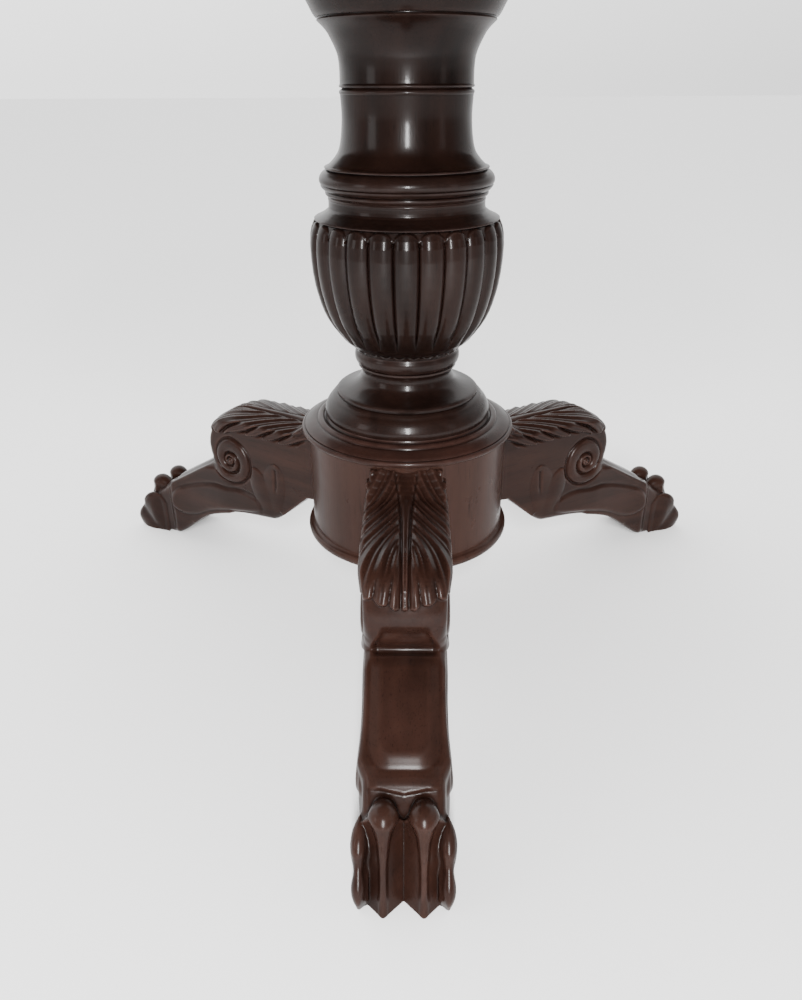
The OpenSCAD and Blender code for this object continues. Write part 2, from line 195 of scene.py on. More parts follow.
def mahogany(name, grain, dark, light, coat=0.1, roughness=0.3, wear_and_painted_light=0.5, haze=0.12):
    """Varnished mahogany. grain is the direction of the grain in the piece's own coordinates,
    wear_and_painted_light says how far convex edges are lightened, partly rubbed through and partly a
    painted highlight, and switches on the darkening of crevices, which is dirt and painted shade; haze is
    the roughness of the varnish."""
    n = Nodes(name)
    coords = n.add("ShaderNodeTexCoord").outputs["Object"]
    chance = n.add("ShaderNodeObjectInfo").outputs["Random"]
    shift = n.add("ShaderNodeVectorMath", operation="ADD")
    n.link(coords, shift.inputs[0])
    n.link(n.math("MULTIPLY", chance, 7.0), shift.inputs[1])
    place = shift.outputs[0]

    def stretched(along):
        scale = n.add("ShaderNodeVectorMath", operation="MULTIPLY")
        n.link(place, scale.inputs[0])
        scale.inputs[1].default_value = tuple(along if g else 1.0 for g in grain)
        return scale.outputs[0]

    figure = n.noise(stretched(0.16), 14, 3, 0.55, 0.6)
    stripe = n.noise(stretched(0.02), 70, 2, 0.55, 0.2)
    fibre = n.noise(stretched(0.04), 700, 2, 0.6)
    cloud = n.noise(place, 7, 2, 0.5)
    tone = n.math("ADD", n.math("MULTIPLY", figure, 0.6), n.math("MULTIPLY", stripe, 0.22))
    tone = n.math("ADD", tone, n.math("MULTIPLY", cloud, 0.18))
    colour = n.mix(n.ramp(tone, [(0.34, 0.0), (0.66, 1.0)]), dark, light)
    pores = n.ramp(fibre, [(0.30, 0.45), (0.42, 1.0)])
    colour = n.mix(pores, tuple(c * 0.6 for c in dark), colour)
    if wear_and_painted_light:
        # Convex edges are lightened: partly rubbed-through finish, partly a painted highlight on ridges and
        # leaf edges.
        point = n.add("ShaderNodeNewGeometry").outputs["Pointiness"]
        edge = n.ramp(point, [(0.5, 0.0), (0.56, 1.0)])
        patchy = n.ramp(n.noise(place, 45, 3, 0.6), [(0.35, 0.25), (0.65, 1.0)])
        edge = n.math("MULTIPLY", n.math("MULTIPLY", edge, patchy), wear_and_painted_light)
        colour = n.mix(edge, colour, tuple(min(1.0, c * 2.6 + 0.012) for c in light))
        # Crevices are darkened: dirt and painted shade in grooves and creases.
        groove = n.ramp(point, [(0.43, 1.0), (0.495, 0.0)])
        colour = n.mix(n.math("MULTIPLY", groove, 0.8), colour, tuple(c * 0.25 for c in dark))
    n.link(colour, n.bsdf.inputs["Base Color"])
    uneven = n.noise(place, 22, 4, 0.6)
    rough = n.math("ADD", n.math("MULTIPLY", uneven, 0.16), roughness - 0.08)
    n.link(rough, n.bsdf.inputs["Roughness"])
    n.bsdf.inputs["Specular IOR Level"].default_value = 0.06
    n.bsdf.inputs["Coat Weight"].default_value = coat
    n.bsdf.inputs["Coat Roughness"].default_value = haze
    bump = n.add("ShaderNodeBump", {"Strength": 0.22, "Distance": 0.0004})
    fine = n.math("ADD", n.math("MULTIPLY", fibre, 0.6), n.math("MULTIPLY", stripe, 0.6))
    fine = n.math("ADD", fine, n.math("MULTIPLY", n.noise(place, 60, 3), 1.2))
    n.link(fine, bump.inputs["Height"])
    n.link(bump.outputs[0], n.bsdf.inputs["Normal"])
    return n.mat


def steel(name):
    """Plain bright steel, a little dull."""
    n = Nodes(name)
    place = n.add("ShaderNodeTexCoord").outputs["Object"]
    patch = n.noise(place, 180, 4, 0.6)
    n.link(n.mix(n.ramp(patch, [(0.35, 0.0), (0.7, 1.0)]), (0.32, 0.31, 0.3), (0.58, 0.58, 0.59)),
           n.bsdf.inputs["Base Color"])
    n.bsdf.inputs["Metallic"].default_value = 1.0
    n.link(n.math("ADD", n.math("MULTIPLY", patch, 0.25), 0.22), n.bsdf.inputs["Roughness"])
    bump = n.add("ShaderNodeBump", {"Strength": 0.2, "Distance": 0.0002})
    n.link(n.noise(place, 900, 2), bump.inputs["Height"])
    n.link(bump.outputs[0], n.bsdf.inputs["Normal"])
    return n.mat


# ---------------------------------------------------------------- shapes shared by the pieces


def curve(a, b, c, d, steps=12):
    """Points of a cubic curve from a to d with handles b and c, leaving out its first point."""
    a, b, c, d = (np.array(p, float) for p in (a, b, c, d))
    out = []
    for i in range(1, steps + 1):
        t = i / steps
        s = 1 - t
        out.append(tuple(s**3 * a + 3 * s * s * t * b + 3 * s * t * t * c + t**3 * d))
    return out


def smooth_step(x, low, high):
    t = np.clip((x - low) / (high - low), 0, 1)
    return t * t * (3 - 2 * t)


def make_piece(name, verts, faces, material, slot, *nodes):
    """Mesh object from arrays in metres, smooth shaded, that stands for CAD nodes."""
    mesh = bpy.data.meshes.new(name)
    faces = np.asarray(faces, np.int32)
    size = faces.shape[1]
    mesh.vertices.add(len(verts))
    mesh.vertices.foreach_set("co", np.asarray(verts, np.float32).ravel())
    mesh.loops.add(faces.size)
    mesh.loops.foreach_set("vertex_index", faces.ravel())
    mesh.polygons.add(len(faces))
    mesh.polygons.foreach_set("loop_start", np.arange(0, faces.size, size, dtype=np.int32))
    mesh.update(calc_edges=True)
    mesh.validate()
    mesh.polygons.foreach_set("use_smooth", np.ones(len(mesh.polygons), bool))
    mesh.materials.append(material)
    piece = bpy.data.objects.new(name, mesh)
    bpy.context.scene.collection.objects.link(piece)
    if nodes:
        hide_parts(*nodes)
    return piece


def surface_nets(field, origin, step):
    """Smooth quad mesh of the zero level of a field sampled on a grid; negative is inside."""
    inside = field < 0
    nx, ny, nz = field.shape
    corners = [(i, j, k) for i in (0, 1) for j in (0, 1) for k in (0, 1)]
    count = np.zeros((nx - 1, ny - 1, nz - 1), np.int8)
    for i, j, k in corners:
        count += inside[i:nx - 1 + i, j:ny - 1 + j, k:nz - 1 + k]
    cells = np.argwhere((count > 0) & (count < 8))
    index = np.full(count.shape, -1, np.int32)
    index[tuple(cells.T)] = np.arange(len(cells))
    total = np.zeros((len(cells), 3))
    hits = np.zeros(len(cells))
    for a in corners:
        for axis in range(3):
            if a[axis]:
                continue
            b = list(a)
            b[axis] = 1
            fa = field[tuple((cells + a).T)]
            fb = field[tuple((cells + b).T)]
            cross = (fa < 0) != (fb < 0)
            t = np.where(cross, fa / np.where(cross, fa - fb, 1), 0)
            point = np.array(a, float) + t[:, None] * (np.array(b) - np.array(a))
            total += point * cross[:, None]
            hits += cross
    verts = (cells + total / hits[:, None]) * step + origin
    quads = []
    for axis in range(3):
        u, v = (axis + 1) % 3, (axis + 2) % 3
        low = [slice(1, -1)] * 3
        high = [slice(1, -1)] * 3
        low[axis], high[axis] = slice(0, -1), slice(1, None)
        flip = inside[tuple(low)] != inside[tuple(high)]
        start = np.argwhere(flip)
        start[:, u] += 1
        start[:, v] += 1
        first = inside[tuple(start.T)]
        ring = []
        for du, dv in ((-1, -1), (0, -1), (0, 0), (-1, 0)):
            cell = start.copy()
            cell[:, u] += du
            cell[:, v] += dv
            ring.append(index[tuple(cell.T)])
        quad = np.stack(ring, 1)
        quad[~first] = quad[~first][:, ::-1]
        quads.append(quad)
    return verts, np.concatenate(quads)


# ---------------------------------------------------------------- carved legs, in millimetres
# x is the distance from the column's axis, w the distance from the leg's middle plane, z the height.

drum_low, drum_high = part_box("hub_drum")
DRUM_R = drum_high.x / MM
DRUM_Z = drum_low.z / MM
LEG_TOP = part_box("leg_front")[1].z / MM
REACH = -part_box("leg_front")[0].y / MM
KNEE = 291.0
SCROLL = np.array((248.0, 152.0))
SCROLL_R = 34.0
CREASE = np.array((285.0, 139.0))
ANKLE = REACH - 60
SOLE = REACH - 66


def leg_top_line():
    """Upper outline from the drum over the knee and down to the ankle."""
    return ([(DRUM_R - 8, LEG_TOP), (227, LEG_TOP)]
            + curve((227, LEG_TOP), (272, LEG_TOP), (KNEE, 190.5), (KNEE, 157), 24)
            + curve((KNEE, 157), (KNEE, 147), CREASE + (2, 4), CREASE, 6)
            + curve(CREASE, CREASE + (22, -9), (ANKLE - 48, 104), (ANKLE - 18, 88), 12)
            + curve((ANKLE - 18, 88), (ANKLE - 10, 83), (ANKLE - 6, 77), (ANKLE + 4, 70), 6))


def leg_under_line():
    """Lower outline from the sole back to the drum."""
    return ([(ANKLE + 14, 63), (ANKLE + 19, 50), (ANKLE + 19, 0), (SOLE, 0)]
            + curve((SOLE, 0), (SOLE - 30, 1), (SOLE - 55, 43.5), (SOLE - 96, 57), 16)
            + curve((SOLE - 96, 57), (SOLE - 140, 75), (SOLE - 176, 74), (DRUM_R + 72, 77.5), 12)
            + curve((DRUM_R + 72, 77.5), (DRUM_R + 62, 80), (DRUM_R + 48, 95), (DRUM_R + 12, 126.6), 8)
            + [(DRUM_R - 8, 128.6)])


def smooth_line(points, steps=5):
    """Rounded line through points of any number of coordinates."""
    p = np.array(points, float)
    p = np.vstack([2 * p[0] - p[1], p, 2 * p[-1] - p[-2]])
    out = []
    for i in range(1, len(p) - 2):
        for t in np.arange(steps) / steps:
            out.append(0.5 * (2 * p[i] + (p[i + 1] - p[i - 1]) * t
                              + (2 * p[i - 1] - 5 * p[i] + 4 * p[i + 1] - p[i + 2]) * t**2
                              + (3 * p[i] - p[i - 1] - 3 * p[i + 1] + p[i + 2]) * t**3))
    out.append(p[-2])
    return np.array(out)


# Crest of each toe from the ankle to the claw: place behind the tip, height, half width, depth of the web.
INNER_TOE = [(66, 66, 8, 4), (57, 74, 9.5, 4), (49, 79.5, 12.2, 3.5), (40.5, 81.5, 13.2, 3),
             (32.5, 79, 12.8, 3), (27, 73, 10.8, 3), (25.5, 66, 8, 3), (23.5, 59, 5.4, 3.2),
             (19.5, 51, 4.0, 3), (15.5, 42, 3.3, 2.5), (11, 30, 3.0, 2.2), (7, 18, 3.3, 1.8),
             (4, 9, 4.2, 0.8), (0, 0, 4.5, 0)]
OUTER_TOE = [(64, 48, 2, 2), (58, 56, 3, 2), (49, 61, 5.2, 2), (39, 61, 6.9, 2), (29, 56, 6.7, 2),
             (21.5, 48, 5.0, 2), (19, 38.5, 3.9, 2), (12.5, 30.5, 4.8, 1.6), (6, 21, 5.6, 1.0),
             (4.5, 11, 4.6, 0.5), (8, 0, 1.6, 0)]
# Half width of the outer toe, from the claw's tip over its waist to the knuckle.
OUTER_WAIST = [(8, 1.2), (12, 2.6), (17, 4.8), (24, 6.1), (34, 5.6), (47, 3.6), (60, 5.6), (74, 6.9),
               (88, 6.0), (100, 4.0), (115, 2.0)]


def outline_distance(x, z, outline):
    """Signed distance from points to a closed outline, negative inside."""
    p = np.array(outline, float)
    q = np.roll(p, -1, 0)
    best = np.full(x.shape, 1e9)
    inside = np.zeros(x.shape, bool)
    for (ax, az), (bx, bz) in zip(p, q):
        ex, ez = bx - ax, bz - az
        length = ex * ex + ez * ez
        if length < 1e-12:
            continue
        t = np.clip(((x - ax) * ex + (z - az) * ez) / length, 0, 1)
        best = np.minimum(best, (x - ax - t * ex) ** 2 + (z - az - t * ez) ** 2)
        if abs(ez) > 1e-12:
            crosses = ((az > z) != (bz > z)) & (x < ex * (z - az) / ez + ax)
            inside ^= crosses
    return np.where(inside, -1, 1) * np.sqrt(best)


def along_line(x, z, line):
    """Distance to an open line and the length along it of the nearest point."""
    p = np.array(line, float)
    best = np.full(x.shape, 1e9)
    where = np.zeros(x.shape)
    run = 0.0
    for (ax, az), (bx, bz) in zip(p[:-1], p[1:]):
        ex, ez = bx - ax, bz - az
        length = sqrt(ex * ex + ez * ez)
        if length < 1e-9:
            continue
        t = np.clip(((x - ax) * ex + (z - az) * ez) / length**2, 0, 1)
        d = (x - ax - t * ex) ** 2 + (z - az - t * ez) ** 2
        nearer = d < best
        best = np.where(nearer, d, best)
        where = np.where(nearer, run + t * length, where)
        run += length
    return np.sqrt(best), where - 8


def leaf_relief(s, q, side):
    """Height of the acanthus leaf. s runs from the drum over the knee, q outwards from the stem."""
    pitch = 26.5
    bend = 96.0
    past = np.maximum(s - bend, 0)
    beyond = bend / pitch + 0.2 * past / pitch + 1 - np.exp(-past / (1.25 * pitch))
    run = np.where(s < bend, s / pitch, beyond)
    phase = run - q / 14.0 - 0.16 * np.sin(q / 11.0)
    part = phase - np.floor(phase)
    mid = np.abs(2 * part - 1)
    tip = 1 - mid**2
    side_edge = 46 + 16 * tip**0.6 * smooth_step(s, -5, 25)
    end_edge = 187 - 11.5 * np.clip(q / 38, 0, 1.5) ** 1.4 + 5.0 * (tip - 0.7) * smooth_step(q, 2, 9)
    cover = smooth_step(side_edge - q, 0, 2.4) * smooth_step(end_edge - s, 0, 1.6)
    arris = mid**1.5
    vein = np.exp(-(((part - 0.5) / 0.09) ** 2))
    away = smooth_step(q, 3, 10)
    puff = smooth_step(s, 140, 172) * (1 - smooth_step(q, 30, 40)) if not side else smooth_step(q, 39, 48)
    hollow = 2.9 * arris + 1.5 * vein
    full = 3.7 * tip**0.7 - 0.6 * vein
    relief = 1.0 + away * (hollow * (1 - puff) + full * puff)
    stem_half = 2.4 + 7.5 * np.exp(-np.maximum(s - 6, 0) / 36)
    stem = 2.4 * np.exp(-((q / stem_half) ** 4)) - 1.6 * np.exp(-(((q - stem_half - 1.2) / 1.2) ** 2))
    slot = -1.0 * np.exp(-((q / 0.8) ** 2)) * smooth_step(s, 60, 100)
    eye = -2.4 * np.exp(-((np.minimum(part, 1 - part) / 0.11) ** 2)) * smooth_step(q, 41, 47) \
        * (1 - smooth_step(q, 58, 63)) * smooth_step(s, 2, 20) * (1 - smooth_step(s, 150, 170))
    return cover * (relief + stem + slot) + (eye if side else 0)


def scroll_relief(x, z):
    """Volute on the side face: one groove that circles the scroll and winds in to its eye."""
    dx, dz = x - SCROLL[0], z - SCROLL[1]
    r = np.hypot(dx, dz) + 1e-6
    start = np.arctan2(CREASE[1] - SCROLL[1], CREASE[0] - SCROLL[0])
    turn = np.degrees((start - np.arctan2(dz, dx)) % (2 * pi))

    def groove_r(phi):
        wide = SCROLL_R - 1.5 + 6 * np.exp(-phi / 40)
        return np.where(phi < 247, wide, (SCROLL_R - 1.5) * np.exp(-((phi - 247) ** 0.9) * 0.0052))

    height = np.zeros(x.shape)
    groove = np.full(x.shape, 99.0)
    for lap in range(3):
        outer = groove_r(turn + 360 * lap)
        inner = groove_r(turn + 360 * (lap + 1))
        groove = np.minimum(groove, np.abs(r - outer))
        f = np.clip((r - inner) / np.maximum(outer - inner, 1e-3), 0, 1)
        band = (r <= outer) & (r > inner)
        height = np.where(band, 3.4 * (4 * f * (1 - f)) ** 0.75 - 0.2, height)
    last = groove_r(turn + 1080)
    height = np.where(r <= last, 3.2 * np.sqrt(np.clip(1 - (r / (last + 1)) ** 2, 0, 1)), height)
    fade = 1 - smooth_step(r, SCROLL_R + 3, SCROLL_R + 8)
    at_crease = smooth_step(np.hypot(x - CREASE[0], z - CREASE[1]), 5, 26)
    return (height - 2.4 * np.exp(-((groove / 1.9) ** 2)) * fade) * at_crease


def side_panel_distance(x, z):
    """Distance to the outline of the padded panel on the side of the lower leg."""
    edge = smooth_line([(201, 96), (207, 104), (220, 109), (240, 111), (262, 108), (283, 108), (302, 104),
                        (320, 98.5), (340, 91), (355, 84.5), (366, 75), (372, 63), (370, 52), (360, 45),
                        (345, 43), (326, 48), (308, 57), (292, 64), (268, 71), (240, 77), (216, 82),
                        (202, 87), (201, 96)])
    return outline_distance(x, z, edge)


def husk_relief(x, z):
    """Small two-lobed husk with a slit, which rises from the elbow under the scroll."""
    total = np.zeros(x.shape)
    foot = np.array((188.0, 78.0))
    for tip_x, tip_z, half, rise in ((172, 163, 19.0, 1.7), (209, 151, 15.0, 2.4)):
        line = np.array((tip_x, tip_z)) - foot
        length = hypot(*line)
        line = line / length
        u = (x - foot[0]) * line[0] + (z - foot[1]) * line[1]
        v = (x - foot[0]) * -line[1] + (z - foot[1]) * line[0]
        f = np.clip(u / length, 0, 1)
        wide = np.where(f > 0.6, half * np.sqrt(np.clip(1 - ((f - 0.6) / 0.4) ** 2, 0, 1)),
                        half * (0.7 + 0.3 * smooth_step(f, 0, 0.6)))
        lobe = rise * np.clip(1 - (v / np.maximum(wide, 0.5)) ** 2, 0, 1) ** 0.8 * smooth_step(f, 0, 0.45)
        total = total + np.where((u > 0) & (u < length), lobe, 0) ** 3
    height = np.cbrt(total)
    slit = -2.4 * np.exp(-(((x - 173.5 + (z - 145) * 0.06) / 1.9) ** 2))
    return height + slit * smooth_step(z, 118, 136) * (1 - smooth_step(z, 153, 159))


def leg_half_width(x, panel):
    """Half width of the leg along it: full at the knee, slim below it, cut back round the panel's end."""
    line = smooth_line([(60, 38.4), (180, 38.4), (260, 38.3), (285, 37.6), (310, 36.8), (335, 37.0),
                        (355, 38.6), (368, 40.2), (378, 40.6), (386, 39.2), (393, 36.2), (400, 35.4),
                        (430, 35.2), (470, 35.2)], 6)
    full = np.interp(x, line[:, 0], line[:, 1])
    return full - np.maximum(full - 35.2, 0) * smooth_step(panel, 0, 5) * smooth_step(x, 366, 380)


def front_panel_relief(s, w):
    """Padded panel down the front of the lower leg, and the hollow under the knee roll."""
    far = np.hypot(np.maximum(np.abs(w) - 12, 0), np.maximum(s - 315, 0) * 0.8)
    pad = 2.6 * (1 - smooth_step(far, 7.5, 19.5)) * smooth_step(s, 237, 252)
    pad = pad - 0.4 * np.exp(-(((far - 19.5) / 2) ** 2)) * smooth_step(s, 236, 246)
    rim = 21 + 8 * smooth_step(s, 206, 232)
    hollow = -3.4 * (1 - smooth_step(np.abs(w), rim - 4, rim + 3)) * smooth_step(s, 201, 212) \
        * (1 - smooth_step(s, 232, 240))
    arc = 354 + 4 * (1 - np.clip(np.abs(w) / 20, 0, 1))
    lip = 2.0 * smooth_step(s, 338, 352) * smooth_step(arc - s, -1.6, 1.2)
    lip = lip * (1 - smooth_step(np.abs(w), 22, 34))
    return pad + hollow + lip


def toe_field(x2, z2, ws, crest, middle, inward, waist=None, dome=0.0):
    """One toe: a round knuckle that narrows to a ridge, on a web that falls away to either side."""
    line = smooth_line([(REACH - c[0], *c[1:]) for c in crest])
    run = np.concatenate([[0], np.cumsum(np.hypot(*np.diff(line[:, :2], axis=0).T))])
    below = [(line[-1, 0] + 1, -18), (line[0, 0], -18)]
    d = outline_distance(x2, z2, [tuple(p) for p in line[:, :2]] + below)[:, None, :]
    along = along_line(x2, z2, line[:, :2])[1] + 8
    half = np.interp(along, run, line[:, 2])[:, None, :]
    if waist:
        lean = REACH - x2 + 0.84 * z2
        half = np.interp(lean, *smooth_line(waist).T)[:, None, :]
    web = np.interp(along, run, line[:, 3])[:, None, :]
    offset = (ws - middle)[None, :, None]
    across = np.abs(offset)
    if dome:
        centre = np.hypot((x2 - REACH + 36) / 36, (z2 - 26) / 38)[:, None, :]
        half = half * np.clip(1.1 - dome * centre**2, 0.3, 1.1)
        fade = smooth_step(x2, REACH - 64, REACH - 38)[:, None, :]
        half = half * fade - 1.5 * (1 - fade)
    share = np.clip(across / np.maximum(half, 0.05), 0, 0.999)
    ridge = np.maximum(d + half * (1 - np.sqrt(1 - share**2)), (across - half) * 0.9)
    slope = np.sqrt(across**2 + 3) - 1.7
    limit = np.where(offset > 0, np.minimum(half, inward), inward) if dome else inward
    sheet = np.maximum(d + web + 0.88 * slope, across - limit)
    return soft_min(ridge, sheet, 1.6)


def soft_min(a, b, k):
    """Union of two fields with a fillet of about k between them."""
    h = np.clip(0.5 + 0.5 * (b - a) / k, 0, 1)
    return b * (1 - h) + a * h - k * h * (1 - h)


def leg_field(step):
    """Signed field of one carved leg on a grid, and the grid's origin."""
    xs = np.arange(DRUM_R - 22, REACH + 4, step)
    ws = np.arange(0, 50, step)
    zs = np.arange(-3 * step, LEG_TOP + 24, step)
    x2, z2 = np.meshgrid(xs, zs, indexing="ij")
    top_line = leg_top_line()
    body = outline_distance(x2, z2, top_line + leg_under_line())
    top_depth, s2 = along_line(x2, z2, top_line)
    panel = side_panel_distance(x2, z2)
    half = leg_half_width(x2, panel)

    to_scroll = np.hypot(x2 - SCROLL[0], z2 - SCROLL[1])
    near_scroll = 1 - smooth_step(to_scroll, SCROLL_R + 1, SCROLL_R + 4)
    edge = 0.8 * np.exp(-(((panel - 0.6) / 1.8) ** 2)) * smooth_step(x2, 205, 225)
    side = smooth_step(-panel, -1, 6) * 2.3 - edge
    side = side + husk_relief(x2, z2)
    side = side * (1 - near_scroll) + scroll_relief(x2, z2) * smooth_step(top_depth, 0, 9)
    side = side + (1.15 - 0.65 * smooth_step(s2, 140, 175)) * leaf_relief(s2, half + top_depth, True)

    s_axis = np.arange(s2.min() - 1, s2.max() + 1, 0.5)
    s_grid, w_grid = np.meshgrid(s_axis, ws, indexing="ij")
    relief = leaf_relief(s_grid, w_grid, False) + front_panel_relief(s_grid, w_grid)
    relief = relief - 2.4 * (1 - smooth_step(s_grid, 110, 170))
    crown = -0.0024 * w_grid**2 * (1 - smooth_step(s_grid, 215, 240)) - 0.0012 * w_grid**2
    crown = crown * smooth_step(s_grid, -4, 30)
    ears = 19 * np.clip((32 - s_grid) / 32, 0, 1) ** 1.7 * (0.8 + 0.2 * smooth_step(w_grid, 5, 14))
    relief = relief + crown + ears
    pick = np.clip(((s2 - s_axis[0]) / 0.5).round().astype(int), 0, len(s_axis) - 1)

    w3 = ws[None, :, None]
    reach = (1 - smooth_step(top_depth, 28, 42))[:, None, :]
    top = body[:, None, :] - relief[pick].transpose(0, 2, 1) * reach
    flank = w3 - (half + side)[:, None, :]
    radius = np.interp(s2, [0, 150, 200, 222, 238, 250, 330, 360], [2.5, 2.5, 5, 11, 9, 4, 5, 8])[:, None, :]
    a, b = top + radius, flank + radius
    field = np.minimum(np.maximum(a, b), 0) + np.sqrt(np.maximum(a, 0) ** 2 + np.maximum(b, 0) ** 2) - radius

    field = soft_min(field, toe_field(x2, z2, ws, INNER_TOE, 16.5, 17.5), 4.0)
    field = soft_min(field, toe_field(x2, z2, ws, OUTER_TOE, 36.6, 8.0, OUTER_WAIST, 0.42), 3.0)

    x3 = x2[:, None, :]
    z3 = z2[:, None, :]
    field = np.maximum(field, DRUM_R - 0.2 - np.sqrt(x3**2 + w3**2))
    tail = np.maximum(w3 - 11 - (DRUM_R - x3) / 3, np.abs(x3 - DRUM_R + 7) - 11)
    tail = np.maximum(tail, np.abs(z3 - (DRUM_Z + LEG_TOP - 6) / 2) - (LEG_TOP - 6 - DRUM_Z) / 2 + 0.3)
    field = np.minimum(field, tail)
    field = np.maximum(field, -z3)
    whole = np.concatenate([field[:, :0:-1], field], 1)
    origin = np.array((xs[0], -ws[-1], zs[0]))
    return whole, origin


def carve_legs(material):
    """The three legs: one shape, carved once and turned about the column."""
    step = 1.1
    field, origin = leg_field(step)
    verts, quads = surface_nets(field.astype(np.float32), origin, step)
    verts[:, 2] = np.maximum(verts[:, 2], 0)
    for name, angle in LEG_ANGLES.items():
        piece = make_piece(name + "_carved", verts * MM, quads, material, "carved_wood", name)
        piece.rotation_euler.z = radians(angle)
        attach(piece, "root")


# ---------------------------------------------------------------- turned pieces


BLOCK_Z, CAPITAL_Z, RING_Z, VASE_Z, BASE_Z, COLLAR_Z = (
    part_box(node)[1].z / MM
    for node in ("capital", "ring_turning", "reeded_vase", "column_base", "hub_collar", "hub_drum"))
SOCKET_LEN = 24.0
BORE_R = 7.0
TENON_R, TENON_LEN = 28.0, CAPITAL_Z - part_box("capital")[0].z / MM


def lathe(name, outline, material, slot, node, tenon=0.0, socket=0.0, bore=BORE_R, segments=256):
    """Turned piece round the tie rod: outline runs up the outside, (radius, height) in millimetres."""
    low, high = outline[0][1], outline[-1][1]
    ring = [(bore, low)]
    if tenon:
        ring = [(bore, low - tenon), (TENON_R - 1, low - tenon), (TENON_R, low - tenon + 1), (TENON_R, low)]
    ring = ring + list(outline)
    if socket:
        ring = ring + [(TENON_R + 0.2, high), (TENON_R + 0.2, high - socket), (bore, high - socket)]
    else:
        ring = ring + [(bore, high)]
    rz = np.array(ring, float)
    turn = np.linspace(0, 2 * pi, segments, endpoint=False)
    points = [rz[:, :1] * np.cos(turn), rz[:, :1] * np.sin(turn), np.repeat(rz[:, 1:], segments, 1)]
    piece = make_piece(name, np.stack(points, -1).reshape(-1, 3) * MM, closed_rings(len(rz), segments),
                       material, slot, node)
    sharpen(piece, 32)
    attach(piece, "root")


def closed_rings(rows, around):
    """Quads between rows of points round an axis; the last row joins the first through the bore."""
    j = np.arange(around)
    k = (j + 1) % around
    faces = []
    for i in range(rows):
        m = (i + 1) % rows
        faces.append(np.stack([i * around + j, i * around + k, m * around + k, m * around + j], 1))
    return np.concatenate(faces)


def sharpen(piece, degrees):
    """Keeps edges sharper than an angle crisp in an otherwise smooth piece."""
    piece.data.set_sharp_from_angle(angle=radians(degrees))


def capital_outline():
    """Flared capital over a plain neck, with a quirk line at its foot and another under the flare."""
    z = CAPITAL_Z
    return ([(62.4, z), (64.6, z + 0.6)]
            + curve((64.6, z + 0.6), (65.4, z + 1.4), (65.2, z + 2.4), (64.4, z + 3.0), 4)
            + [(64.2, z + 4)]
            + curve((64.2, z + 4), (64, z + 12), (63.9, z + 20), (65.2, z + 26.5), 8)
            + curve((65.2, z + 26.5), (66.6, z + 32), (69.5, z + 37.5), (73.5, z + 44.5), 8)
            + curve((73.5, z + 44.5), (77, z + 50), (81.5, z + 53), (83.6, z + 55.2), 8)
            + [(83.2, z + 56.2), (83.2, z + 57.2), (84.6, z + 57.6)]
            + curve((84.6, z + 57.6), (87.8, z + 61), (89.6, z + 66), (93, z + 71.5), 8)
            + curve((93, z + 71.5), (96, z + 76), (98.2, z + 81), (98.2, z + 87), 8)
            + curve((98.2, z + 87), (98.2, z + 92), (96.4, z + 95), (93.5, z + 96), 6)
            + [(93.5, BLOCK_Z)])


def ring_outline():
    """Neck over a torus between fillets."""
    z = RING_Z
    return ([(79.6, z), (80.6, z + 1)]
            + curve((80.6, z + 1), (82.8, z + 2.4), (83.2, z + 4), (82.4, z + 5.2), 5)
            + [(81.9, z + 5.9), (83.8, z + 6.8)]
            + curve((83.8, z + 6.8), (85.2, z + 8), (86.8, z + 9.6), (87.1, z + 11.2), 5)
            + [(86.5, z + 11.9), (87.0, z + 12.5)]
            + curve((87.0, z + 12.5), (89.6, z + 15), (88.8, z + 22), (81.4, z + 25.4), 12)
            + [(80.4, z + 25.9), (80.6, z + 26.5), (82.4, z + 26.9), (82.6, z + 27.6), (82.0, z + 28.4)]
            + [(79.8, z + 28.9)]
            + curve((79.8, z + 28.9), (75.2, z + 32.2), (71.8, z + 36.4), (69, z + 40.2), 10)
            + curve((69, z + 40.2), (66, z + 45), (64.2, z + 56), (63.5, z + 70), 10)
            + curve((63.5, z + 70), (63.2, z + 78), (63.9, z + 86), (64.3, z + 91.6), 8)
            + curve((64.3, z + 91.6), (65.2, z + 92.2), (65.4, z + 94.2), (64.6, z + 95.2), 4)
            + [(62.4, z + 96.6), (62.2, CAPITAL_Z)])


def base_outline():
    """Bead, stem, cove and torus at the foot of the column."""
    z = BASE_Z
    return ([(92, z)] + curve((92, z), (94, z + 3), (94.2, z + 7), (91.4, z + 12.4), 8)
            + curve((91.4, z + 12.4), (89.6, z + 16), (87.8, z + 18), (85.2, z + 20.6), 6)
            + curve((85.2, z + 20.6), (84, z + 23), (82.2, z + 24), (80.4, z + 25), 5)
            + [(79.2, z + 25.4), (79.4, z + 28.4)]
            + curve((79.4, z + 28.4), (78.2, z + 29.8), (77, z + 30), (75.5, z + 30.4), 4)
            + curve((75.5, z + 30.4), (62, z + 33), (53.5, z + 37), (51.8, z + 44), 12)
            + curve((51.8, z + 44), (50.2, z + 47.5), (50, z + 52), (52.4, z + 55.8), 6)
            + [(54.2, z + 56.4), (54.4, z + 58.4), (53.6, z + 59)]
            + curve((53.6, z + 59), (58.6, z + 61.5), (58.8, z + 70.5), (56.4, z + 73.4), 12)
            + [(56.0, VASE_Z)])


